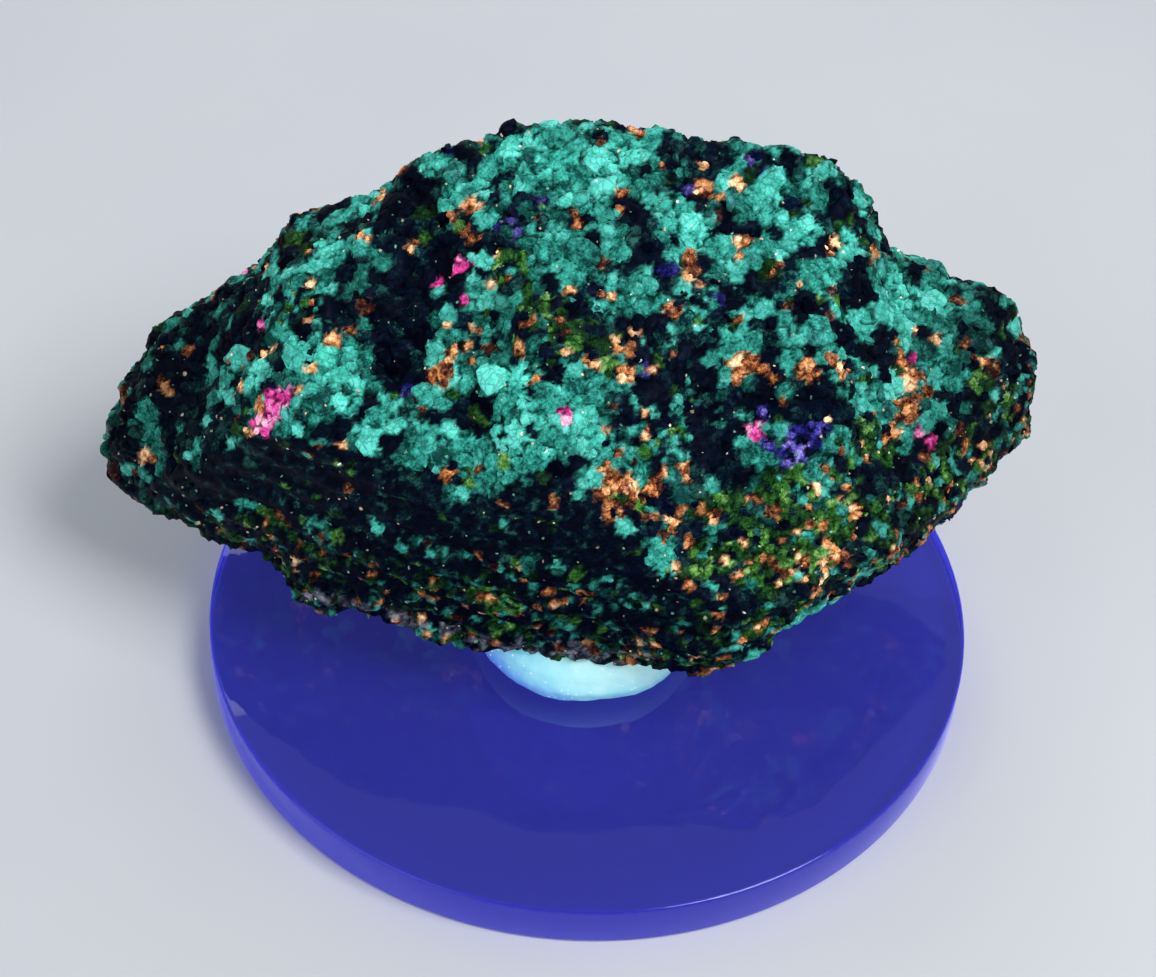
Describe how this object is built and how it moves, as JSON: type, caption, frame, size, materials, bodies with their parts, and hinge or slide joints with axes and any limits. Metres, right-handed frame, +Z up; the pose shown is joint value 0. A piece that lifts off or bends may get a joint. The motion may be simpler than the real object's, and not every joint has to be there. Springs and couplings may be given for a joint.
{
  "type": "chlorophane and sphalerite specimen",
  "caption": "Leaning lump of granular fluorite and sphalerite ore, held by a pat of tack on a round see-through acrylic base.",
  "frame": {"origin": "centre of the base disc's underside, the face it stands on", "axes": "+Z up through the disc, +X along the stone's length towards its raised end, -Y towards its dark parted face"},
  "size_m": [0.1203, 0.1, 0.0677],
  "materials": {
    "ore": "rough granular stone, glassy on the grains",
    "tack": "matt white reusable tack",
    "acrylic": "polished blue-violet see-through acrylic"
  },
  "bodies": {
    "root": {"specimen": "ore", "putty": "tack", "base_disc": "acrylic"}
  },
  "joints": []
}
